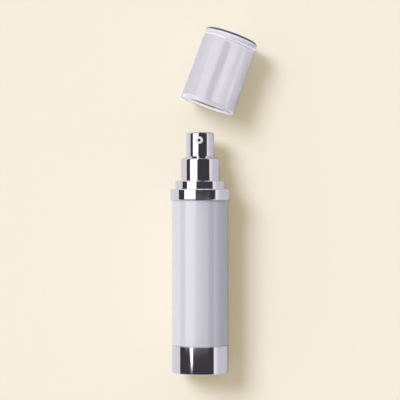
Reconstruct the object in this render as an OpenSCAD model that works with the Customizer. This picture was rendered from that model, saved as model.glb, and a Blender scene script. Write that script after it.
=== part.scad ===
// Airless pump bottle, lying on a table with its cap taken off.
// X runs to the right, Y along the bottle towards the pump, Z up from the table.
// The origin is the centre of the flat foot. All sizes are in millimetres.

/* [Show] */
// Which piece to draw

/* [Bottle] */
// Outside diameter of the outer bottle
body_d = 32.0; // [31.6:0.1:33]
// Height of the bottle that shows between the base and the shoulder
body_h = 82.1; // [50:0.1:130]
// Wall of the outer bottle
outer_wall = 1.4; // [1.2:0.05:1.6]
// Wall of the inner bottle
inner_wall = 0.9; // [0.7:0.05:1.1]
// Air gap between the inner and the outer bottle
bottle_gap = 0.1; // [0.05:0.01:0.2]
// Wall of the inner bottle's neck
neck_wall = 1.4; // [1.1:0.1:1.8]
// Thickness of the inner bottle's shoulder
shoulder_t = 1.2; // [0.8:0.1:1.6]
// How far the snap bead stands out of the neck
bead_out = 0.4; // [0.3:0.05:0.45]

/* [Base] */
// Height of the metal base cup
base_h = 15.8; // [10:0.1:24]
// How far the base cup stands out of the bottle
base_step = 0.1; // [0.05:0.05:0.4]
// Wall of the base cup
base_wall = 0.7; // [0.5:0.05:0.8]
// Floor of the base cup
base_floor = 1.2; // [0.8:0.1:2]
// Bevel around the foot
foot_bevel = 0.4; // [0.2:0.05:0.6]
// Diameter of the air vents in the foot
vent_d = 1.2; // [0.8:0.1:2]
// Number of air vents in the foot
vent_count = 3; // [2:1:6]
// Distance of the vents from the middle of the foot
vent_r = 8.0; // [5:0.5:11]

/* [Shoulder ring] */
// How far the wide tier stands out of the bottle
flange_lip = 1.1; // [0.9:0.05:2]
// Height of the wide tier
flange_h = 6.4; // [5.6:0.1:9]
// Diameter of the narrow tier, which the cap slides over
seat_d = 28.4; // [28:0.1:28.6]
// Height of the narrow tier
seat_h = 4.7; // [4.4:0.1:4.9]
// Bevel on the top edge of the narrow tier
seat_bevel = 0.5; // [0.3:0.05:0.7]
// Wall of the narrow tier
tier_wall = 0.8; // [0.6:0.05:0.9]
// Space between the narrow tier and the neck's bead, which the closure's side fills
closure_side = 2.3; // [2:0.1:2.6]
// Thickness of the ring's flat tops
tier_top = 0.8; // [0.6:0.05:1]
// Bevel on the top edge of the wide tier
flange_bevel = 0.5; // [0.2:0.05:0.6]
// Rounding of the wide tier's lower edge
flange_round = 0.6; // [0.3:0.05:0.8]

/* [Collar] */
// Outside diameter of the collar sleeve
collar_d = 21.8; // [21.4:0.1:22.2]
// Height of the collar sleeve above the shoulder ring
collar_h = 13.8; // [13.5:0.1:18]
// Wall of the collar sleeve
collar_wall = 0.6; // [0.5:0.05:0.7]
// Height of the collar's sloping shoulder
collar_slope_h = 1.4; // [1:0.1:1.8]
// Rounding between the slope and the collar's side
collar_round = 1.0; // [0.7:0.1:1.3]
// How far the closure's turret reaches up into the collar
turret_h = 5.0; // [3:0.1:7]

/* [Actuator] */
// Outside diameter of the actuator
actuator_d = 15.8; // [15.4:0.1:16.6]
// Height of the actuator above the collar
actuator_h = 13.6; // [12.5:0.1:18]
// Wall of the actuator's shell
actuator_wall = 0.8; // [0.6:0.05:0.9]
// How far the shell's skirt reaches down into the collar
skirt_h = 6.8; // [3:0.1:7.5]
// Rounding of the actuator's top edge
actuator_round = 0.8; // [0.4:0.1:1.2]
// Distance of the nozzle below the actuator's top
nozzle_drop = 4.5; // [4:0.1:5.4]
// Outside diameter of the nozzle tip
nozzle_d = 4.2; // [3.6:0.1:4.3]
// Bore of the nozzle tip and of the channel behind it
nozzle_bore_d = 1.6; // [1:0.1:1.8]
// How far the nozzle tip stands out of the actuator
nozzle_out = 0.6; // [0.3:0.05:1.2]
// Number of ribs that carry the actuator's shell
core_ribs = 6; // [3:1:8]
// Turn of the actuator to the left, as it happens to stand
button_turn = 4.0; // [-30:0.5:30]

/* [Pump] */
// How far the actuator goes down
stroke = 5.0; // [3:0.1:5]
// Bore of the pump chamber
chamber_d = 8.4; // [8:0.1:8.8]
// Wall of the pump housing
housing_wall = 1.0; // [0.8:0.05:1.2]
// Diameter of the hollow stem
stem_d = 4.8; // [4.5:0.1:5.2]
// Bore of the hollow stem
stem_bore_d = 3.0; // [2.6:0.1:3.2]
// Diameter of the rod between the stem and its valve head
rod_d = 2.6; // [2.2:0.1:2.8]
// Diameter of the rod's valve head
rod_head_d = 6.6; // [6:0.1:7]
// Wire of the return spring
spring_wire = 0.5; // [0.4:0.05:0.55]
// Mean diameter of the return spring
spring_d = 6.0; // [5.4:0.1:6.4]
// Turns of the return spring
spring_turns = 5; // [3:1:5]
// Diameter of the inlet valve's ball
ball_d = 3.0; // [2.6:0.1:3.2]
// How far the ball lifts off its seat
ball_lift = 0.6; // [0.3:0.1:0.8]
// How far the pump piston slips on the stem to open the outlet
slip = 0.6; // [0.3:0.1:0.6]
// How far the rod is pushed into the stem
rod_plug_h = 6.0; // [4:0.1:8]
// Height of the lock ring's skirt around the housing
lock_skirt_h = 3.2; // [2:0.1:4]
// Wall of that skirt
lock_skirt_t = 0.95; // [0.7:0.05:1.2]

/* [Follower piston] */
// Height of the piston that follows the product up
follower_h = 12.0; // [11:0.1:16]
// Wall of that piston
follower_wall = 1.0; // [0.8:0.05:1.4]

/* [Cap] */
// Length of the cap
cap_h = 42.9; // [38:0.1:50]
// Clear wall at the cap's mouth
cap_lip = 0.92; // [0.8:0.02:1.2]
// How much wider the mouth's flare is than the cap above it
cap_flare = 0.3; // [0.1:0.05:0.4]
// How much the cap narrows from there to its closed end
cap_taper = 0.45; // [0.2:0.05:0.6]
// Height of the flared mouth
cap_flare_h = 5.5; // [5:0.1:7]
// Thickness of the clear closed end
cap_end_t = 4.2; // [3:0.1:5]
// Bevel around the closed end
cap_bevel = 0.8; // [0.3:0.05:0.9]
// Clear wall beside the liner
cap_wall = 1.1; // [0.95:0.05:1.2]
// Wall of the liner
liner_wall = 0.5; // [0.4:0.05:0.6]
// How far the liner stops short of the mouth
liner_short = 1.7; // [1:0.1:2.4]
// Rounding of the liner's closed end
liner_round = 2.0; // [1:0.1:3]
// Clearance between the liner and the narrow tier
cap_clear = 0.35; // [0.3:0.05:0.4]
// Sideways place of the taken-off cap's mouth
cap_x = 3.8; // [0:0.1:12]
// Place of the taken-off cap's mouth along the bottle
cap_y = 151.6; // [150:0.1:170]
// Turn of the taken-off cap on the table
cap_turn = 19.6; // [0:0.1:40]

/* [Hidden] */
$fn = 96;
// Gap between two pieces that are pushed together
seat_gap = 0.05;
// Gap between two faces that rest on each other
rest_gap = 0.02;
// Gap of a shaft that slides or turns in its hole
run_gap = 0.06;
eps = 0.01;

body_r = body_d / 2;
base_r = body_r + base_step;
flange_r = body_r + flange_lip;
seat_r = seat_d / 2;
collar_r = collar_d / 2;
actuator_r = actuator_d / 2;

flange_z = base_h + body_h;
seat_z = flange_z + flange_h;
collar_z = seat_z + seat_h;
actuator_z = collar_z + collar_h;
top_z = actuator_z + actuator_h;
nozzle_z = top_z - nozzle_drop;

// the closure under the shoulder ring
closure_top = collar_z - tier_top - seat_gap;
closure_plate = 1.1;
closure_r = seat_r - tier_wall - seat_gap;
closure_bore_r = seat_r - tier_wall - closure_side;
closure_wall = 1.3;
turret_r = collar_r - collar_wall - seat_gap;
turret_wall = 1.0;
collar_top = 0.8;

// the neck, its gasket and the housing's flange, stacked under the closure's plate
flange_t = 1.0;
gasket_t = 0.8;
housing_flange_top = closure_top - closure_plate - rest_gap;
gasket_top = housing_flange_top - flange_t - rest_gap;
neck_top = gasket_top - gasket_t - rest_gap;
neck_h = 4.2;
shoulder_z = neck_top - neck_h;
bead_r = closure_bore_r - 0.1;
neck_r = bead_r - bead_out;

// the bottle walls
outer_bore_r = body_r - outer_wall;
inner_r = outer_bore_r - bottle_gap;
inner_bore_r = inner_r - inner_wall;
spigot_r = base_r - base_wall - seat_gap;
bottle_z0 = base_floor + rest_gap;

// the pump, from the inlet up
chamber_r = chamber_d / 2;
housing_r = chamber_r + housing_wall;
stem_r = stem_d / 2;
ball_r = ball_d / 2;
inlet_r = ball_r * 2 / 3;
room_r = ball_r + 0.25;
inlet_wall_r = room_r + 1.4;
chamber_floor = shoulder_z - shoulder_t;
floor_t = 1.0;
ball_room = 2 * ball_r - (ball_r - sqrt(ball_r * ball_r - inlet_r * inlet_r)) + ball_lift + rest_gap * 2;
room_z = chamber_floor - 0.5 - ball_room;
inlet_z = room_z - 1.5;
ball_z = room_z + sqrt(ball_r * ball_r - inlet_r * inlet_r) + rest_gap;
spring_solid = spring_turns * spring_wire + 0.4;
head_z = chamber_floor + spring_solid + stroke;
head_t = 0.8;
rod_r = rod_d / 2;
head_r = rod_head_d / 2;
cone_h = head_r - rod_r;
piston_z = head_z + head_t + 1.1;
piston_h = 5.0;
piston_top = piston_z + piston_h;
stem_z = piston_z + 2.4 + slip + seat_gap;
lock_z = piston_top + slip + 0.1;
lock_plug = 1.2;
lock_top_t = 1.0;
housing_top = lock_z + lock_plug;
lock_top = housing_top + rest_gap + lock_top_t;
core_z = actuator_z + 0.3;
stem_top = nozzle_z - nozzle_d / 2 - 1.4;

// the follower piston at the bottom of its travel
plug_t = 1.2;
plug_h = 2.6;
follower_z = bottle_z0 + plug_h + 0.2;
follower_top = follower_z + follower_h;
lip_h = 1.2;

// the cap
cap_gap = 0.03;
skirt_bore = seat_r + cap_clear;
skirt_r = skirt_bore + liner_wall;
cap_mouth_r = skirt_r + cap_gap + cap_lip;
cap_waist_r = cap_mouth_r - cap_flare;
cap_top_r = cap_waist_r - cap_taper;
skirt_top = cap_flare_h;
cap_step = 7;
cap_end = cap_h - cap_end_t;
cap_dip = asin((cap_mouth_r - cap_top_r) / cap_h);

cap_shell();
cap_liner();
actuator_shell();
actuator_core();
nozzle_tip();
collar_sleeve();
shoulder_ring();
closure_ring();
neck_gasket();
pump_housing();
housing_lock_ring();
return_spring();
outer_stem();
piston_rod();
pump_piston();
inlet_ball();
outer_bottle();
inner_bottle();
follower_piston();
base_cup();
bottom_plug();

// Turns a piece drawn upright on the origin so that it lies along Y.
// Its front, local -Y, then looks straight up.
module laid_down() {
    rotate([-90, 0, 0])
        children();
}

// Lays down a piece of the actuator, turned as the actuator stands.
module laid_head() {
    laid_down()
        rotate([0, 0, -button_turn])
            children();
}

// Puts a piece of the cap, drawn mouth down on the origin, where the cap lies.
module taken_off() {
    translate([cap_x, cap_y, cap_mouth_r * cos(cap_dip) - flange_r])
        rotate([0, 0, -cap_turn])
            rotate([-cap_dip, 0, 0])
                laid_down()
                    children();
}

// A straight tube on the axis.
module tube(r_out, r_in, z0, z1) {
    translate([0, 0, z0])
        difference() {
            cylinder(h = z1 - z0, r = r_out);
            translate([0, 0, -1])
                cylinder(h = z1 - z0 + 2, r = r_in);
        }
}

// A bar on the axis.
module bar(r, z0, z1) {
    translate([0, 0, z0])
        cylinder(h = z1 - z0, r = r);
}

// Half the cross-section of a disc or tube whose outer top edge is rounded.
module rounded_section(r_in, r_out, z0, z1, round_r) {
    translate([r_in, z0])
        square([r_out - r_in, z1 - z0 - round_r]);
    translate([r_in, z0])
        square([r_out - r_in - round_r, z1 - z0]);
    translate([r_out - round_r, z1 - round_r])
        circle(r = round_r);
}

// Clear outer shell of the cap: thick closed end, slight taper, flared mouth.
module cap_shell() {
    color([0.90, 0.90, 0.95, 0.4])
        taken_off()
            rotate_extrude()
                difference() {
                    polygon([
                        [0, 0], [cap_mouth_r - 0.2, 0], [cap_mouth_r, 0.2],
                        [cap_mouth_r, 0.8], [cap_waist_r, cap_flare_h],
                        [cap_top_r, cap_h - cap_bevel], [cap_top_r - cap_bevel, cap_h],
                        [0, cap_h]
                    ]);
                    cap_hollow(0);
                }
}

// Half the cross-section of the space inside the clear shell, drawn smaller by less.
module cap_hollow(less) {
    side_r = cap_waist_r - cap_wall - less;
    end_r = cap_top_r - cap_wall - less;
    end_z = cap_end - less;
    polygon([
        [0, -1], [skirt_r + cap_gap - less, -1],
        [skirt_r + cap_gap - less, skirt_top - less],
        [side_r, skirt_top + cap_step - less],
        [end_r, end_z - liner_round], [end_r - liner_round, end_z], [0, end_z]
    ]);
    translate([end_r - liner_round, end_z - liner_round])
        circle(r = liner_round);
}

// Pale inner liner of the cap.
module cap_liner() {
    color([0.88, 0.87, 0.93])
        taken_off()
            rotate_extrude()
                difference() {
                    cap_hollow(cap_gap);
                    cap_hollow(cap_gap + liner_wall);
                    translate([-1, -2])
                        square([cap_mouth_r + 2, liner_short + 2]);
                }
}

// Metal shell of the actuator, open below, with the nozzle's hole in its side.
module actuator_shell() {
    color([0.78, 0.78, 0.80])
        laid_head()
            difference() {
                rotate_extrude()
                    difference() {
                        rounded_section(0, actuator_r, actuator_z - skirt_h, top_z, actuator_round);
                        translate([-1, actuator_z - skirt_h - 1])
                            square([actuator_r - actuator_wall + 1,
                                    actuator_h + skirt_h + 1 - actuator_wall]);
                    }
                translate([0, 0, nozzle_z])
                    rotate([90, 0, 0])
                        cylinder(h = actuator_r + 2, r = nozzle_d / 2 + seat_gap);
            }
}

// Plastic core that joins the shell to the stem and leads the product to the nozzle.
module actuator_core() {
    core_r = actuator_r - actuator_wall - seat_gap;
    core_top = top_z - actuator_wall - rest_gap;
    hub_r = stem_r + 1.6;
    color([0.95, 0.95, 0.93])
        laid_head()
            difference() {
                union() {
                    bar(hub_r, core_z, core_top - eps);
                    bar(core_r, core_top - 1.2, core_top);
                    tube(core_r, core_r - 0.9, core_z, core_z + 1.2);
                    for (i = [0 : core_ribs - 1])
                        rotate([0, 0, 90 + (i + 0.5) * 360 / core_ribs])
                            translate([hub_r - 0.3, -0.4, core_z])
                                cube([core_r - hub_r - 0.1, 0.8, core_top - core_z - 1]);
                    translate([0, 0, nozzle_z])
                        rotate([90, 0, 0])
                            cylinder(h = core_r - 0.6, r = nozzle_d / 2 + 0.8);
                }
                bar(stem_r + seat_gap, core_z - 1, stem_top + rest_gap);
                bar(nozzle_bore_d / 2, core_z, nozzle_z);
                translate([0, 0, nozzle_z]) {
                    rotate([90, 0, 0])
                        cylinder(h = actuator_r, r = nozzle_bore_d / 2);
                    translate([0, 2.0 - core_r, 0])
                        rotate([90, 0, 0])
                            cylinder(h = 4, r = nozzle_d / 2 + seat_gap);
                }
            }
}

// Small tube pushed into the core through the shell's side.
module nozzle_tip() {
    back = actuator_r - actuator_wall - seat_gap - 2.0 + rest_gap;
    tip_r = nozzle_d / 2;
    color([0.85, 0.85, 0.88])
        laid_head()
            translate([0, 0, nozzle_z])
                rotate([90, 0, 0])
                    rotate_extrude()
                        difference() {
                            rounded_section(0, tip_r, back, actuator_r + nozzle_out, 0.3);
                            translate([-1, back - 1])
                                square([1 + nozzle_bore_d / 2, actuator_r + nozzle_out]);
                        }
}

// Metal sleeve around the actuator's skirt, with a shoulder that slopes up to the actuator.
module collar_sleeve() {
    hole_r = actuator_r + run_gap;
    bore_r = turret_r + seat_gap;
    slope = collar_slope_h / (collar_r - hole_r);
    lean = atan(slope);
    arc_x = collar_r - collar_round;
    touch_x = arc_x + collar_round * sin(lean);
    touch_z = actuator_z - (touch_x - hole_r) * slope;
    arc_z = touch_z - collar_round * cos(lean);
    inside_z = actuator_z - collar_top;
    low_z = closure_top + rest_gap;
    color([0.78, 0.78, 0.80])
        laid_down()
            rotate_extrude()
                difference() {
                    union() {
                        polygon([
                            [hole_r, low_z], [collar_r, low_z], [collar_r, arc_z],
                            [touch_x, touch_z], [hole_r, actuator_z]
                        ]);
                        translate([arc_x, arc_z])
                            circle(r = collar_round);
                    }
                    polygon([
                        [0, low_z - 1], [bore_r, low_z - 1],
                        [bore_r, inside_z - (bore_r - hole_r) * slope],
                        [hole_r - eps, inside_z], [0, inside_z]
                    ]);
                }
}

// Metal ring in two tiers that covers the bottle's shoulder and takes the cap.
module shoulder_ring() {
    bottle_bore = body_r + seat_gap;
    seat_bore = seat_r - tier_wall;
    hole_r = collar_r + seat_gap;
    color([0.78, 0.78, 0.80])
        laid_down()
            rotate_extrude()
                difference() {
                    union() {
                        polygon([
                            [bottle_bore - 1, flange_z], [flange_r - flange_round, flange_z],
                            [flange_r, flange_z + flange_round], [flange_r, seat_z - flange_bevel],
                            [flange_r - flange_bevel, seat_z], [seat_r, seat_z],
                            [seat_r, collar_z - seat_bevel], [seat_r - seat_bevel, collar_z],
                            [hole_r, collar_z], [hole_r, seat_z - 1], [bottle_bore - 1, seat_z - 1]
                        ]);
                        translate([flange_r - flange_round, flange_z + flange_round])
                            circle(r = flange_round);
                    }
                    translate([-1, flange_z - 1])
                        square([bottle_bore + 1, flange_h + 1 - tier_top]);
                    translate([-1, flange_z - 1])
                        square([seat_bore + 1, flange_h + seat_h + 1 - tier_top]);
                }
}

// Plastic closure that snaps over the neck and clamps the pump housing.
module closure_ring() {
    closure_z = shoulder_z + 0.1;
    color([0.93, 0.93, 0.92])
        laid_down() {
            difference() {
                union() {
                    bar(closure_bore_r + closure_wall, closure_z, closure_top);
                    bar(closure_r, closure_top - closure_plate, closure_top);
                    bar(turret_r, closure_top - eps, closure_top + turret_h);
                    for (i = [0 : 11])
                        rotate([0, 0, i * 30])
                            translate([closure_bore_r + 0.5, -0.6, closure_z])
                                cube([closure_r - closure_bore_r - 0.6, 1.2, closure_top - closure_z - 0.2]);
                }
                bar(closure_bore_r, closure_z - 1, closure_top - closure_plate);
                bar(housing_r + seat_gap, closure_z, closure_top + 1);
                bar(turret_r - turret_wall, closure_top, closure_top + turret_h + 1);
            }
            tube(closure_bore_r + 0.2, neck_r + 0.1, shoulder_z + 0.8, shoulder_z + 1.6);
        }
}

// Soft gasket between the neck's rim and the housing's flange.
module neck_gasket() {
    color([0.80, 0.80, 0.82])
        laid_down()
            tube(neck_r, housing_r + 1.2, gasket_top - gasket_t, gasket_top);
}

// Pump housing: chamber tube, clamped flange, and the inlet with the ball's room.
module pump_housing() {
    color([0.93, 0.93, 0.92])
        laid_down()
            difference() {
                union() {
                    bar(housing_r, chamber_floor - floor_t, housing_top);
                    bar(bead_r - 0.1, housing_flange_top - flange_t, housing_flange_top);
                    bar(inlet_wall_r, inlet_z, chamber_floor - floor_t + eps);
                }
                bar(chamber_r, chamber_floor, housing_top + 1);
                bar(room_r, room_z, chamber_floor - 0.5);
                bar(ball_r * 0.8, room_z + 1, chamber_floor + 1);
                for (a = [0, 90])
                    rotate([0, 0, a])
                        translate([-room_r, -0.4, room_z + 1])
                            cube([2 * room_r, 0.8, chamber_floor - room_z]);
                bar(inlet_r, inlet_z - 1, room_z + 1);
            }
}

// Cap of the housing: guides the stem and keeps the pump piston in.
module housing_lock_ring() {
    skirt_low = housing_top - lock_skirt_h;
    color([0.90, 0.90, 0.92])
        laid_down()
            difference() {
                bar(housing_r + seat_gap + lock_skirt_t, skirt_low, lock_top);
                difference() {
                    bar(housing_r + seat_gap, skirt_low - 1, housing_top + rest_gap);
                    bar(chamber_r - seat_gap, lock_z, lock_top);
                }
                bar(stem_r + run_gap, skirt_low - 1, lock_top + 1);
            }
}

// Wire spring under the rod's head, one unbroken tube.
module return_spring() {
    sides = 6;
    steps = spring_turns * 12;
    wire_r = spring_wire / 2;
    low = chamber_floor + wire_r * 1.1;
    rise = head_z - chamber_floor - wire_r * 2.2;
    points = [for (i = [0 : steps]) for (k = [0 : sides - 1])
        let (turn = i * 30, side = k * 60)
        let (r = spring_d / 2 + wire_r * cos(side))
        [r * cos(turn), r * sin(turn), low + rise * i / steps + wire_r * sin(side)]];
    tube_faces = [for (i = [0 : steps - 1]) for (k = [0 : sides - 1])
        let (a = i * sides + k, b = i * sides + (k + 1) % sides)
        [a, a + sides, b + sides, b]];
    ends = [[for (k = [0 : sides - 1]) k],
        [for (k = [0 : sides - 1]) steps * sides + sides - 1 - k]];
    color([0.70, 0.71, 0.73])
        laid_down()
            polyhedron(points = points, faces = concat(tube_faces, ends));
}

// Hollow stem that carries the actuator.
module outer_stem() {
    color([0.95, 0.95, 0.95])
        laid_down()
            tube(stem_r, stem_bore_d / 2, stem_z, stem_top);
}

// Rod pushed into the stem from below; its head closes the pump piston.
module piston_rod() {
    plug_r = stem_bore_d / 2 - seat_gap;
    color([0.86, 0.88, 0.92])
        laid_down()
            difference() {
                rotate_extrude()
                    polygon([
                        [0, head_z], [head_r - 0.2, head_z], [head_r, head_z + 0.2],
                        [head_r, head_z + head_t], [rod_r, head_z + head_t + cone_h],
                        [rod_r, stem_z], [plug_r, stem_z + 0.2],
                        [plug_r, stem_z + rod_plug_h - 0.3],
                        [plug_r - 0.3, stem_z + rod_plug_h], [0, stem_z + rod_plug_h]
                    ]);
                for (s = [-1, 1])
                    translate([s * (plug_r + 0.55) - 0.75, -plug_r, stem_z - 1.7])
                        cube([1.5, 2 * plug_r, rod_plug_h + 2]);
            }
}

// Pump piston: two lips in the chamber, a seat for the rod's head below.
module pump_piston() {
    lip_r = chamber_r - seat_gap;
    waist_r = chamber_r - 0.7;
    bore = rod_r + 0.5;
    seat_low = piston_z - head_z - head_t;
    seat_r0 = head_r - seat_low + seat_gap;
    color([0.96, 0.96, 0.94])
        laid_down()
            rotate_extrude()
                polygon([
                    [seat_r0, piston_z], [lip_r, piston_z], [lip_r, piston_z + 0.8],
                    [waist_r, piston_z + 1.3], [waist_r, piston_top - 1.3],
                    [lip_r, piston_top - 0.8], [lip_r, piston_top],
                    [stem_r + seat_gap, piston_top], [stem_r + seat_gap, piston_z + 2.4],
                    [bore, piston_z + 2.4], [bore, piston_z + seat_r0 - bore]
                ]);
}

// Ball of the inlet valve.
module inlet_ball() {
    color([0.75, 0.76, 0.78])
        laid_down()
            translate([0, 0, ball_z])
                sphere(r = ball_r);
}

// Pearl outer bottle: a straight tube with a thinner spigot in the base cup.
module outer_bottle() {
    color([0.80, 0.79, 0.86])
        laid_down()
            rotate_extrude()
                polygon([
                    [outer_bore_r, bottle_z0], [spigot_r, bottle_z0],
                    [spigot_r, base_h + seat_gap], [body_r, base_h + seat_gap],
                    [body_r, seat_z - tier_top - seat_gap],
                    [outer_bore_r, seat_z - tier_top - seat_gap]
                ]);
}

// Inner bottle that holds the product: straight bore, shoulder, neck with a snap bead.
module inner_bottle() {
    bead_z = shoulder_z + 2.0;
    color([0.84, 0.83, 0.90])
        laid_down()
            rotate_extrude()
                polygon([
                    [inner_bore_r, bottle_z0], [inner_r, bottle_z0],
                    [inner_r, shoulder_z - 0.6], [inner_r - 0.6, shoulder_z],
                    [neck_r, shoulder_z], [neck_r, bead_z], [bead_r, bead_z + 0.1],
                    [bead_r, bead_z + 0.6], [neck_r, bead_z + 1.2], [neck_r, neck_top],
                    [neck_r - neck_wall, neck_top], [neck_r - neck_wall, shoulder_z - shoulder_t],
                    [inner_bore_r, shoulder_z - shoulder_t]
                ]);
}

// Piston that follows the product up as the bottle empties.
module follower_piston() {
    lip_r = inner_bore_r - seat_gap;
    side_r = lip_r - 0.6;
    step_r = housing_r + 0.4;
    well_r = inlet_wall_r + 0.4;
    step_z = follower_top - floor_t - 0.8;
    well_z = follower_top - (chamber_floor - inlet_z) - 0.8;
    w = follower_wall;
    color([0.94, 0.94, 0.94])
        laid_down()
            rotate_extrude()
                union() {
                    translate([side_r - w, follower_z])
                        square([w, follower_h]);
                    for (z = [follower_z, follower_top - lip_h])
                        translate([side_r - w, z])
                            square([lip_r - side_r + w, lip_h]);
                    translate([step_r, follower_top - w])
                        square([side_r - step_r, w]);
                    translate([step_r, step_z - w])
                        square([w, follower_top - step_z + w]);
                    translate([well_r, step_z - w])
                        square([step_r - well_r + w, w]);
                    translate([well_r, well_z - w])
                        square([w, step_z - well_z + w]);
                    translate([0, well_z - w])
                        square([well_r + w, w]);
                }
}

// Metal cup around the bottle's lower end, with air vents in its flat foot.
module base_cup() {
    color([0.78, 0.78, 0.80])
        laid_down()
            difference() {
                rotate_extrude()
                    polygon([
                        [0, 0], [base_r - foot_bevel, 0], [base_r, foot_bevel],
                        [base_r, base_h - 0.3], [base_r - 0.3, base_h],
                        [base_r - base_wall, base_h], [base_r - base_wall, base_floor],
                        [0, base_floor]
                    ]);
                for (i = [0 : vent_count - 1])
                    rotate([0, 0, i * 360 / vent_count])
                        translate([0, -vent_r, -1])
                            cylinder(h = base_floor + 2, r = vent_d / 2, $fn = 24);
            }
}

// Plug in the inner bottle's open lower end, with an air hole in the middle.
module bottom_plug() {
    plug_r = inner_bore_r - seat_gap;
    color([0.92, 0.92, 0.92])
        laid_down() {
            tube(plug_r, 0.75, bottle_z0, bottle_z0 + plug_t);
            tube(plug_r, plug_r - 1.0, bottle_z0 + plug_t - eps, bottle_z0 + plug_h);
        }
}
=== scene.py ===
import bpy
import math
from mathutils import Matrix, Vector


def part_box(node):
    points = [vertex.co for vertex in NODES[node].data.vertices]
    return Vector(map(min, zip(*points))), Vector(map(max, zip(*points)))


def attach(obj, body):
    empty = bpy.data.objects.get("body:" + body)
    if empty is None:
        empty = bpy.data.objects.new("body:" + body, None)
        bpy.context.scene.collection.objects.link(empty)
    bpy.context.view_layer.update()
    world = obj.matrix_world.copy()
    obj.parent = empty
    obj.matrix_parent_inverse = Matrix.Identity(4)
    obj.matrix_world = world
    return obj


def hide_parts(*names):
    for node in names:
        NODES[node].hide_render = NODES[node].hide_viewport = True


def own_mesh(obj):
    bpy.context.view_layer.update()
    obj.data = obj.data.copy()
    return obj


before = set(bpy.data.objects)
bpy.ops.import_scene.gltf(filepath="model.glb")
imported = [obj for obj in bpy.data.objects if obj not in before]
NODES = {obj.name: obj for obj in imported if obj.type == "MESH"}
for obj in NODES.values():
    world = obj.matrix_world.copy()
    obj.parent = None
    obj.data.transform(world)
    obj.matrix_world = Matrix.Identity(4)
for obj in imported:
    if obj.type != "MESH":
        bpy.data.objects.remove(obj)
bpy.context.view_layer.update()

# Sizes and places in metres, in the same frame as part.scad. The bottle rests on its widest
# ring, FLANGE_R from its axis.
FLANGE_R = 0.0171
TABLE_Z = -FLANGE_R
TABLE_HALF = 3.0

# The nozzle's bore leads up out of the button and leans to the left.
BORE_R = 0.00082
BORE_TURN = math.radians(4.0)
BORE_Y = sum(corner[1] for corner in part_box("nozzle_tip")) / 2

# The cap lies apart: the middle of its mouth, the way it points, and its length.
CAP_MOUTH = (0.0038, 0.1516, -0.0011)
CAP_TURN = math.radians(19.6)
CAP_DIP = math.radians(1.0)
CAP_LENGTH = 0.0429
CAP_AXIS = (math.sin(CAP_TURN) * math.cos(CAP_DIP), math.cos(CAP_TURN) * math.cos(CAP_DIP),
            -math.sin(CAP_DIP))
CAP_START = sum(place * share for place, share in zip(CAP_MOUTH, CAP_AXIS))
CAP_END = CAP_START + CAP_LENGTH

# Where the clear shell changes, measured from its end: the solid end, with half of its fade, the
# painted dark reflection along the rounded edge, with its fade, and the skin of the flat end face.
CAP_SOLID = 0.0042
SOLID_FADE = 0.0004
RIM_WIDTH = 0.0012
RIM_FADE = 0.00024
FACE_SKIN = 0.00003
# Measured from its mouth: the milky lip is whole up to here, and gone from there on.
LIP_WHOLE = 0.00165
LIP_GONE = 0.0030
# How far the liner swells, so that no air shows between it and the shell.
LINER_SWELL = 0.00005

# The photograph's camera, straight above the bottle.
CAMERA_AT = (-0.00017, 0.0981, 0.7986)
CAMERA_NEAR = 0.01
LENS_MM = 126.0
SENSOR_MM = 36.0

# The pieces' colours, as linear light.
METAL = (0.86, 0.86, 0.89)
SPRING_STEEL = (0.62, 0.62, 0.64)
BALL_STEEL = (0.8, 0.8, 0.82)
PEARL = (0.605, 0.592, 0.662)
LAVENDER = (0.62, 0.60, 0.68)
LINER = (0.675, 0.66, 0.70)
# Painted light: the liner's inner walls whiter, in place of light shining into the shaded inside of
# the cap.
LINER_INSIDE_LIT = (0.96, 0.95, 0.97)
CAP_CLEAR = (0.955, 0.95, 0.98)
CAP_MILKY = (0.93, 0.92, 0.97)
# A painted dark reflection: the line on the rounded edge of the cap's end, where the clear bevel
# mirrors the dark surround.
CAP_RIM_PAINTED_DARK = (0.06, 0.055, 0.07)
NOZZLE_WHITE = (0.78, 0.77, 0.80)
CORE_WHITE = (0.85, 0.85, 0.83)
# Painted shade inside the nozzle's bore, where the deep hole gets little light.
BORE_SHADE = (0.012, 0.010, 0.012)

# The plain moulded pieces inside: their material's name, colour, roughness and nodes.
MOULDED = [
    ("pump_plastic", (0.80, 0.80, 0.78), 0.45,
     ["closure_ring", "housing_lock_ring", "pump_housing", "bottom_plug"]),
    ("stem_plastic", (0.86, 0.86, 0.85), 0.35, ["outer_stem", "piston_rod"]),
    ("piston_plastic", (0.83, 0.83, 0.83), 0.5, ["pump_piston", "follower_piston"]),
    ("gasket_soft", (0.45, 0.45, 0.47), 0.7, ["neck_gasket"]),
]

# Optical values and shares.
PLASTIC_IOR = 1.49
SKIN_IOR = 1.8
SKIN_ROUGH = 0.06
LINER_POLISH = 0.02
LINER_THROUGH = 0.35
CAP_CLARITY = 0.92
CAP_MILK = 0.5
LIP_MILK = 0.28
CAP_GLOW = 0.35
# What each surface of the clear shell, and of its solid end, lets through of the lamp's light.
CAP_SHADE = (0.88, 0.88, 0.89)
CAP_SHADE_END = (0.15, 0.15, 0.15)
# Most of a noise texture lies between these two values.
NOISE_SPAN = (0.3, 0.7)

# Light: a soft surround, stronger from the left by the share LEAN, and one large soft lamp from
# the upper left. Its spread is in degrees.
AMBIENT = 0.47
LEAN = 0.55
KEY_TOWARDS = (-0.505, 0.398, 0.766)
KEY_POWER = 2.192
KEY_SPREAD = 26.0

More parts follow.
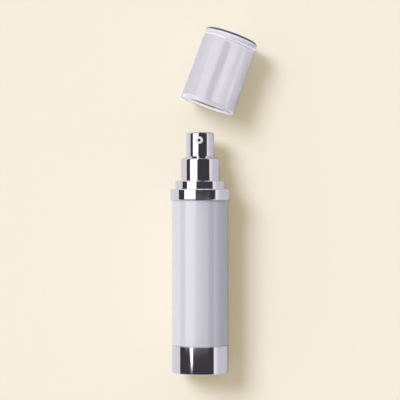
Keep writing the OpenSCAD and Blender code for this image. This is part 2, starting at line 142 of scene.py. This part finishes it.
# The table: the surround's cream, what the camera sees (a grey that takes the light, and a glow
# that warms its shadows), what the cap shows through itself, what is mirrored on the left and on
# the right, where painted shade makes it darker, and what the right side throws back onto the
# bottle. Left goes over into right within TABLE_BLEND metres of the bottle's axis.
CREAM = (0.930, 0.855, 0.723)
TABLE_GREY = (0.711, 0.697, 0.695)
TABLE_WARM = (0.219, 0.158, 0.028)
TABLE_THROUGH = (1.30, 1.26, 1.29)
TABLE_LEFT = (0.74, 0.72, 0.755)
TABLE_RIGHT_SHADED = (0.60, 0.59, 0.64)
BOUNCE_RIGHT = (0.84, 0.845, 0.94)
TABLE_ROUGH = 0.9
TABLE_BLEND = 0.03

# The studio that the shiny pieces mirror. A TURN is in degrees round the bottle, 0 straight up
# and more to the right. An ALONG is how much a direction points along the bottle, from -1 to 1,
# and more towards the pump.
WALL = (0.70, 0.68, 0.74)
CEILING = (0.050, 0.045, 0.052)
ROOM = [(-180, WALL), (-101, WALL), (-97, CEILING), (55, CEILING), (59, (0.94, 0.92, 0.96)),
        (68, (0.82, 0.80, 0.84)), (76, (0.66, 0.64, 0.69)), (92, (0.58, 0.56, 0.62)), (180, WALL)]
# The dark ceiling is wider, by this many degrees on each side, in the directions that only the
# rings mirror in the photograph's view.
RINGS_ALONG = (0.0, 0.0155)
RINGS_WIDER = 3.5
# At the pump's far end of the room it is light all round.
END = (0.92, 0.90, 0.94)
END_ALONG = (0.90, 0.96)
# The bright strip, and its left and right sides over the bottle.
STRIP = (1.40, 1.40, 1.44)
STRIP_ALONG = (-0.1190, 0.93)
STRIP_LEFT = -63.5
STRIP_RIGHT = -18.5
# Its left side moves in far beyond the pump, and its right side moves out soon after the rings.
FAR_ALONG = (0.45, 0.75)
FAR_LEFT = -36.0
PUMP_ALONG = (0.03, 0.05)
PUMP_RIGHT = -15.5
# Towards the foot it is a wedge, whose sides go from one turn to the other.
WEDGE_BELOW = -0.1025
WEDGE_ALONG = (-0.1035, -0.1240)
WEDGE_LEFT = (-45.0, -36.0)
WEDGE_RIGHT = (-29.0, -31.0)
# A soft panel that the bottle's pearly wall mirrors in the photograph's view.
PANEL = (0.75, 0.75, 0.78)
PANEL_TURN = (-17.0, 34.0)
PANEL_ALONG = (-0.1020, -0.0040)

# What is seen through the clear cap: the level of light at each turn, with a darker gap between
# two strips, and a fill on the right for directions that point well along the bottle.
THROUGH_STRENGTH = 4.0
THROUGH_TINT = (1.0, 0.98, 1.02)
THROUGH_LEVELS = [(-180, 0.18), (-100, 0.18), (-96, 0.66), (-63, 0.38), (-61, 0.40), (-20, 0.40),
                  (-18, 0.0), (12, 0.0), (14, 0.68), (57, 0.68), (59, 0.20), (93, 1.15),
                  (125, 1.2), (150, 1.1), (165, 0.18), (180, 0.18)]
FILL = (1.2, 1.19, 1.22)
FILL_TURN = (20.0, 100.0)
FILL_ALONG = (0.40, 0.45)


def feed(tree, slot, value):
    """Sets an input to a number, vector or colour, or links it to another node's output."""
    if isinstance(value, bpy.types.NodeSocket):
        tree.links.new(value, slot)
    elif slot.type == "RGBA":
        slot.default_value = (*value, 1.0)
    else:
        slot.default_value = value


def node(tree, kind, **values):
    """A node of that kind with its properties and inputs set, in the order given."""
    made = tree.nodes.new(kind)
    for key, value in values.items():
        if key in made.inputs:
            feed(tree, made.inputs[key], value)
        else:
            setattr(made, key, value)
    return made


def shade(tree, kind, **values):
    """The output of a new shader node."""
    return node(tree, kind, **values).outputs[0]


def coordinates(tree, kind):
    """The X, Y and Z of a texture coordinate: Object in a piece, Generated in the world."""
    place = node(tree, "ShaderNodeTexCoord")
    split = node(tree, "ShaderNodeSeparateXYZ", Vector=place.outputs[kind])
    return [split.outputs[letter] for letter in "XYZ"]


def maths(tree, operation, *values):
    """A Math node; each value is a number or another node's output."""
    made = node(tree, "ShaderNodeMath", operation=operation)
    for slot, value in zip(made.inputs, values):
        feed(tree, slot, value)
    return made.outputs["Value"]


def times(tree, one, other):
    """The product of two masks or numbers."""
    return maths(tree, "MULTIPLY", one, other)


def between(tree, value, low, high):
    """1 where the value lies between two others."""
    return times(tree, maths(tree, "GREATER_THAN", value, low),
                 maths(tree, "LESS_THAN", value, high))


def blended(tree, factor, one, other):
    """One number where the factor is 0, the other where it is 1."""
    return maths(tree, "MULTIPLY_ADD", factor, maths(tree, "SUBTRACT", other, one), one)


def rising(tree, value, start, end, low=0.0, high=1.0):
    """Runs from low to high while the value goes from start to end."""
    made = node(tree, "ShaderNodeMapRange", Value=value)
    for key, number in zip(("From Min", "From Max", "To Min", "To Max"), (start, end, low, high)):
        made.inputs[key].default_value = number
    return made.outputs["Result"]


def dot(tree, one, other):
    """The dot product of an output with another output or a fixed vector."""
    made = node(tree, "ShaderNodeVectorMath", operation="DOT_PRODUCT")
    for slot, value in zip(made.inputs, (one, other)):
        feed(tree, slot, value)
    return made.outputs["Value"]


def layered(tree, factor, under, over):
    """One colour where the factor is 0, the other where it is 1."""
    made = node(tree, "ShaderNodeMix", data_type="RGBA", Factor=factor, A=under, B=over)
    return made.outputs["Result"]


def chosen(tree, factor, one, other):
    """One shader where the factor is 0, the other where it is 1."""
    made = node(tree, "ShaderNodeMixShader", Fac=factor)
    tree.links.new(one, made.inputs[1])
    tree.links.new(other, made.inputs[2])
    return made.outputs["Shader"]


def plus(tree, one, other):
    """Two shaders added."""
    made = node(tree, "ShaderNodeAddShader")
    tree.links.new(one, made.inputs[0])
    tree.links.new(other, made.inputs[1])
    return made.outputs["Shader"]


def round_about(tree, turn, stops):
    """A colour for each turn round the bottle, from stops of degrees and colour."""
    ramp = node(tree, "ShaderNodeValToRGB", Fac=maths(tree, "MULTIPLY_ADD", turn, 1.0 / 360.0, 0.5))
    elements = ramp.color_ramp.elements
    while len(elements) < len(stops):
        elements.new(0.5)
    for element, (degrees, colour) in zip(elements, stops):
        element.position = degrees / 360.0 + 0.5
        element.color = (*colour, 1.0)
    return ramp.outputs["Color"]


def noise(tree, scale, detail=3.0, stretch=(1.0, 1.0, 1.0)):
    """A noise factor in the piece's own coordinates; a stretch under 1 draws it out that way."""
    place = node(tree, "ShaderNodeTexCoord")
    mapping = node(tree, "ShaderNodeMapping", Vector=place.outputs["Object"], Scale=stretch)
    made = node(tree, "ShaderNodeTexNoise", Vector=mapping.outputs["Vector"], Scale=scale,
                Detail=detail)
    return made.outputs["Fac"]


def material(name):
    """A new node material, its tree and its Principled shader."""
    made = bpy.data.materials.new(name)
    made.use_nodes = True
    return made, made.node_tree, made.node_tree.nodes["Principled BSDF"]


def shown(tree, look):
    """Makes this shader the one that the material shows."""
    tree.links.new(look, tree.nodes["Material Output"].inputs["Surface"])


def rough_by(tree, shader, cloud, rough, low, high):
    """Roughness that follows a cloud, from low to high times its middle value."""
    feed(tree, shader.inputs["Roughness"],
         rising(tree, cloud, *NOISE_SPAN, rough * low, rough * high))


def tinted_by(tree, shader, cloud, colour, dim):
    """A colour that follows a cloud, from dim times its full value up to the full value."""
    dimmed = tuple(level * dim for level in colour)
    feed(tree, shader.inputs["Base Color"],
         layered(tree, rising(tree, cloud, *NOISE_SPAN), dimmed, colour))


def painted(tree, shader, factor, colour):
    """Another colour over the shader's own where the factor is 1."""
    own = shader.inputs["Base Color"].links[0].from_socket
    feed(tree, shader.inputs["Base Color"], layered(tree, factor, own, colour))


def bumped(tree, shader, height, strength, distance):
    """Fine relief on the shader."""
    relief = node(tree, "ShaderNodeBump", Strength=strength, Distance=distance, Height=height)
    feed(tree, shader.inputs["Normal"], relief.outputs["Normal"])


def polished_metal(name, colour, rough, scale=260.0):
    """Metal-look plating: mirror bright, with faint wiping marks in its gloss."""
    made, tree, shader = material(name)
    shader.inputs["Metallic"].default_value = 1.0
    marks = noise(tree, scale, detail=4.0, stretch=(1.0, 0.25, 1.0))
    tinted_by(tree, shader, marks, colour, dim=0.985)
    rough_by(tree, shader, marks, rough, low=0.7, high=1.4)
    return made


def pearl_gloss(name, colour, rough, coat):
    """Pearly plastic under a clear polished skin, with a faint cloud in its colour."""
    made, tree, shader = material(name)
    cloud = noise(tree, scale=45.0, stretch=(1.0, 0.35, 1.0))
    tinted_by(tree, shader, cloud, colour, dim=0.985)
    rough_by(tree, shader, cloud, rough, low=0.9, high=1.1)
    streaks = noise(tree, scale=900.0, detail=2.0, stretch=(1.0, 0.2, 1.0))
    bumped(tree, shader, streaks, strength=0.05, distance=0.00001)
    shader.inputs["IOR"].default_value = PLASTIC_IOR
    shader.inputs["Coat Weight"].default_value = coat
    shader.inputs["Coat Roughness"].default_value = SKIN_ROUGH
    shader.inputs["Coat IOR"].default_value = SKIN_IOR
    return made


def moulded_plastic(name, colour, rough):
    """Moulded plastic, a little uneven, with a fine grain."""
    made, tree, shader = material(name)
    cloud = noise(tree, scale=90.0)
    tinted_by(tree, shader, cloud, colour, dim=0.97)
    rough_by(tree, shader, cloud, rough, low=0.85, high=1.15)
    bumped(tree, shader, noise(tree, scale=2500.0, detail=2.0), strength=0.12, distance=0.00002)
    shader.inputs["IOR"].default_value = PLASTIC_IOR
    return made


def in_bore(tree):
    """1 inside the nozzle's bore."""
    x, y, z = coordinates(tree, "Object")
    across = maths(tree, "ADD", x, times(tree, z, math.tan(BORE_TURN)))
    along = maths(tree, "SUBTRACT", y, BORE_Y)
    away = maths(tree, "SQRT", maths(tree, "ADD", times(tree, across, across),
                                     times(tree, along, along)))
    return times(tree, maths(tree, "LESS_THAN", away, BORE_R), maths(tree, "GREATER_THAN", z, 0.0))


def bore_shaded_plastic(name, colour, rough):
    """Moulded plastic with painted shade inside the nozzle's bore, nearly black there."""
    made = moulded_plastic(name, colour, rough)
    tree = made.node_tree
    # Painted shade: nearly black inside the bore.
    painted(tree, tree.nodes["Principled BSDF"], in_bore(tree), BORE_SHADE)
    return made


def lit_through(tree, colour):
    """A surface that glows with the light from behind it."""
    return shade(tree, "ShaderNodeBsdfTranslucent", Color=colour)


def facing_in(tree):
    """1 on the walls that face the cap's axis."""
    place = node(tree, "ShaderNodeTexCoord")
    arm = node(tree, "ShaderNodeVectorMath", operation="SUBTRACT")
    feed(tree, arm.inputs[0], place.outputs["Object"])
    feed(tree, arm.inputs[1], CAP_MOUTH)
    normal = place.outputs["Normal"]
    outward = dot(tree, arm.outputs["Vector"], normal)
    along = times(tree, dot(tree, arm.outputs["Vector"], CAP_AXIS), dot(tree, normal, CAP_AXIS))
    return maths(tree, "LESS_THAN", maths(tree, "SUBTRACT", outward, along), 0.0)


def liner_plastic(name, colour, rough, through):
    """Moulded plastic with painted light on its inner walls, whiter there, also lit from behind and
    polished.
    """
    made = moulded_plastic(name, colour, rough)
    tree = made.node_tree
    shader = tree.nodes["Principled BSDF"]
    # Painted light on the inner walls.
    painted(tree, shader, facing_in(tree), LINER_INSIDE_LIT)
    body = chosen(tree, through, shader.outputs["BSDF"], lit_through(tree, colour))
    polish = shade(tree, "ShaderNodeBsdfGlossy", Roughness=LINER_POLISH)
    fresnel = node(tree, "ShaderNodeFresnel", IOR=SKIN_IOR)
    shown(tree, chosen(tree, fresnel.outputs["Fac"], body, polish))
    return made


def cap_masks(tree):
    """1 in the cap's solid end, in the lip of its mouth, and in the band of painted dark reflection
    on the rounded edge of its end.
    """
    place = node(tree, "ShaderNodeTexCoord")
    along = dot(tree, place.outputs["Object"], CAP_AXIS)
    end = rising(tree, along, CAP_END - CAP_SOLID - SOLID_FADE, CAP_END - CAP_SOLID + SOLID_FADE)
    lip = rising(tree, along, CAP_START + LIP_GONE, CAP_START + LIP_WHOLE)
    painted_rim = rising(tree, along, CAP_END - RIM_WIDTH - RIM_FADE, CAP_END - RIM_WIDTH)
    painted_rim = times(tree, painted_rim, maths(tree, "LESS_THAN", along, CAP_END - FACE_SKIN))
    return end, lip, painted_rim


def clear_cap(name, colour, rough, clear):
    """Polished acrylic: clear walls, a milky lip and end, and a painted dark reflection as a line
    on the end's edge.
    """
    made, tree, shader = material(name)
    shader.inputs["IOR"].default_value = PLASTIC_IOR
    rough_by(tree, shader, noise(tree, scale=120.0), rough, low=0.6, high=1.5)
    end, lip, painted_rim = cap_masks(tree)
    milky = maths(tree, "MAXIMUM", times(tree, end, CAP_MILK), times(tree, lip, LIP_MILK))
    feed(tree, shader.inputs["Base Color"], layered(tree, milky, colour, CAP_MILKY))
    # Painted dark reflection along the rounded edge of the end.
    painted(tree, shader, painted_rim, CAP_RIM_PAINTED_DARK)
    feed(tree, shader.inputs["Transmission Weight"], rising(tree, milky, 0.0, 1.0, clear, 0.0))
    glowing = times(tree, maths(tree, "SUBTRACT", end, painted_rim), CAP_GLOW)
    whole = chosen(tree, glowing, shader.outputs["BSDF"], lit_through(tree, CAP_MILKY))
    passed = shade(tree, "ShaderNodeBsdfTransparent",
                   Color=layered(tree, end, CAP_SHADE, CAP_SHADE_END))
    path = node(tree, "ShaderNodeLightPath")
    shown(tree, chosen(tree, path.outputs["Is Shadow Ray"], whole, passed))
    return made


def dress(names, made):
    """Gives CAD nodes a material in all their slots."""
    for name in names:
        for slot in NODES[name].material_slots:
            slot.material = made


def swell_liner():
    """Makes the liner fill the clear wall, as if it were moulded in."""
    fit = NODES["cap_liner"].modifiers.new("moulded_in", "DISPLACE")
    fit.strength = LINER_SWELL
    fit.mid_level = 0.0


def add_spring():
    """A copy of the return spring, parented to the bottle's body, shown in place of the CAD node.
    """
    made = bpy.data.objects.new("spring_wound", NODES["return_spring"].data.copy())
    bpy.context.scene.collection.objects.link(made)
    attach(made, "bottle")
    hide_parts("return_spring")
    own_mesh(made)


def cream_table():
    """The table's material, which keeps its own look for each kind of ray."""
    made, tree, shader = material("cream_table")
    shader.inputs["Roughness"].default_value = TABLE_ROUGH
    shader.inputs["Specular IOR Level"].default_value = 0.0
    x = coordinates(tree, "Object")[0]
    side = rising(tree, x, -TABLE_BLEND, TABLE_BLEND)
    feed(tree, shader.inputs["Base Color"], layered(tree, side, CREAM, BOUNCE_RIGHT))
    seen = plus(tree, shade(tree, "ShaderNodeBsdfDiffuse", Color=TABLE_GREY),
                shade(tree, "ShaderNodeEmission", Color=TABLE_WARM))
    # Mirrored look: painted shade makes the right side darker.
    mirrored = shade(tree, "ShaderNodeBsdfDiffuse",
                     Color=layered(tree, side, TABLE_LEFT, TABLE_RIGHT_SHADED))
    through = shade(tree, "ShaderNodeEmission", Color=TABLE_THROUGH)
    path = node(tree, "ShaderNodeLightPath")
    look = chosen(tree, path.outputs["Is Camera Ray"], shader.outputs["BSDF"], seen)
    look = chosen(tree, path.outputs["Is Glossy Ray"], look, mirrored)
    look = chosen(tree, path.outputs["Is Transmission Ray"], look, through)
    shown(tree, look)
    return made


def add_table():
    """The plain cream surface that the bottle lies on."""
    mesh = bpy.data.meshes.new("table")
    corners = [(x * TABLE_HALF, y * TABLE_HALF, TABLE_Z)
               for x, y in ((-1, -1), (1, -1), (1, 1), (-1, 1))]
    mesh.from_pydata(corners, [], [(0, 1, 2, 3)])
    ob = bpy.data.objects.new("table", mesh)
    bpy.context.scene.collection.objects.link(ob)
    mesh.materials.append(cream_table())


def in_strip(tree, turn, along):
    """1 inside the bright strip."""
    over_bottle = maths(tree, "GREATER_THAN", along, WEDGE_BELOW)
    left = blended(tree, over_bottle, rising(tree, along, *WEDGE_ALONG, *WEDGE_LEFT),
                   rising(tree, along, *FAR_ALONG, STRIP_LEFT, FAR_LEFT))
    right = blended(tree, over_bottle, rising(tree, along, *WEDGE_ALONG, *WEDGE_RIGHT),
                    rising(tree, along, *PUMP_ALONG, STRIP_RIGHT, PUMP_RIGHT))
    return times(tree, between(tree, turn, left, right), between(tree, along, *STRIP_ALONG))


def mirrored_studio(tree, turn, along):
    """What the shiny pieces mirror: a dark ceiling between light walls, a strip and a panel."""
    wider = times(tree, between(tree, along, *RINGS_ALONG), RINGS_WIDER)
    outward = times(tree, maths(tree, "SIGN", turn), wider)
    walls = round_about(tree, maths(tree, "SUBTRACT", turn, outward), ROOM)
    room = layered(tree, rising(tree, along, *END_ALONG), walls, END)
    lit = layered(tree, in_strip(tree, turn, along), room, STRIP)
    in_panel = times(tree, between(tree, turn, *PANEL_TURN), between(tree, along, *PANEL_ALONG))
    return shade(tree, "ShaderNodeBackground", Color=layered(tree, in_panel, lit, PANEL))


def seen_through(tree, turn, along):
    """What is seen through the clear cap."""
    stops = [(degrees, tuple(level * tint for tint in THROUGH_TINT))
             for degrees, level in THROUGH_LEVELS]
    in_fill = times(tree, between(tree, turn, *FILL_TURN),
                    rising(tree, maths(tree, "ABSOLUTE", along), *FILL_ALONG))
    return shade(tree, "ShaderNodeBackground", Strength=THROUGH_STRENGTH,
                 Color=layered(tree, in_fill, round_about(tree, turn, stops), FILL))


def soft_surround(tree, x):
    """Even white light, stronger from the left than from the right."""
    level = rising(tree, x, -1.0, 1.0, AMBIENT * (1.0 + LEAN), AMBIENT * (1.0 - LEAN))
    return shade(tree, "ShaderNodeBackground", Color=(1.0, 1.0, 1.0), Strength=level)


def add_world():
    """Soft light all round, with a look of its own for mirrored, refracted and camera rays."""
    world = bpy.data.worlds.new("studio")
    world.use_nodes = True
    bpy.context.scene.world = world
    tree = world.node_tree
    tree.nodes.remove(tree.nodes["Background"])
    x, along, z = coordinates(tree, "Generated")
    turn = times(tree, maths(tree, "ARCTAN2", x, z), 180.0 / math.pi)
    backdrop = shade(tree, "ShaderNodeBackground", Color=CREAM)
    path = node(tree, "ShaderNodeLightPath")
    look = chosen(tree, path.outputs["Is Glossy Ray"], soft_surround(tree, x),
                  mirrored_studio(tree, turn, along))
    look = chosen(tree, path.outputs["Is Transmission Ray"], look, seen_through(tree, turn, along))
    look = chosen(tree, path.outputs["Is Camera Ray"], look, backdrop)
    tree.links.new(look, tree.nodes["World Output"].inputs["Surface"])


def add_sun(name, towards, power, spread):
    """A large soft lamp far away, in the direction given, that no shiny piece mirrors."""
    data = bpy.data.lights.new(name, "SUN")
    data.energy = power
    data.angle = math.radians(spread)
    ob = bpy.data.objects.new(name, data)
    bpy.context.scene.collection.objects.link(ob)
    ob.rotation_euler = Vector(towards).to_track_quat("Z", "Y").to_euler()
    ob.visible_glossy = False
    ob.visible_transmission = False


def add_camera():
    """A long lens that looks straight down."""
    camera = bpy.data.objects.new("camera", bpy.data.cameras.new("camera"))
    bpy.context.scene.collection.objects.link(camera)
    camera.location = CAMERA_AT
    camera.data.lens = LENS_MM
    camera.data.sensor_width = SENSOR_MM
    camera.data.clip_start = CAMERA_NEAR
    bpy.context.scene.camera = camera


# The metal-look pieces.
for piece, name in (("actuator_shell", "button_metal"), ("collar_sleeve", "collar_metal"),
                    ("shoulder_ring", "shoulder_metal"), ("base_cup", "base_metal")):
    dress([piece], polished_metal(name, METAL, rough=0.035))

# The button's plastic pieces.
dress(["nozzle_tip"], bore_shaded_plastic("nozzle_white", NOZZLE_WHITE, rough=0.25))
dress(["actuator_core"], bore_shaded_plastic("core_plastic", CORE_WHITE, rough=0.45))

# The cap.
dress(["cap_shell"], clear_cap("cap_clear", CAP_CLEAR, rough=0.02, clear=CAP_CLARITY))
dress(["cap_liner"], liner_plastic("cap_liner_plastic", LINER, rough=0.18, through=LINER_THROUGH))
swell_liner()

# The body.
dress(["outer_bottle"], pearl_gloss("bottle_pearl", PEARL, rough=0.32, coat=1.0))
dress(["inner_bottle"], moulded_plastic("inner_bottle_plastic", LAVENDER, rough=0.35))

# The pump and the other pieces inside.
for name, colour, rough, pieces in MOULDED:
    dress(pieces, moulded_plastic(name, colour, rough))
dress(["return_spring"], polished_metal("spring_metal", SPRING_STEEL, rough=0.25, scale=900.0))
add_spring()
dress(["inlet_ball"], polished_metal("ball_metal", BALL_STEEL, rough=0.06))

add_table()
add_world()
add_sun("key", KEY_TOWARDS, KEY_POWER, KEY_SPREAD)
add_camera()
bpy.context.scene.view_settings.view_transform = "Standard"
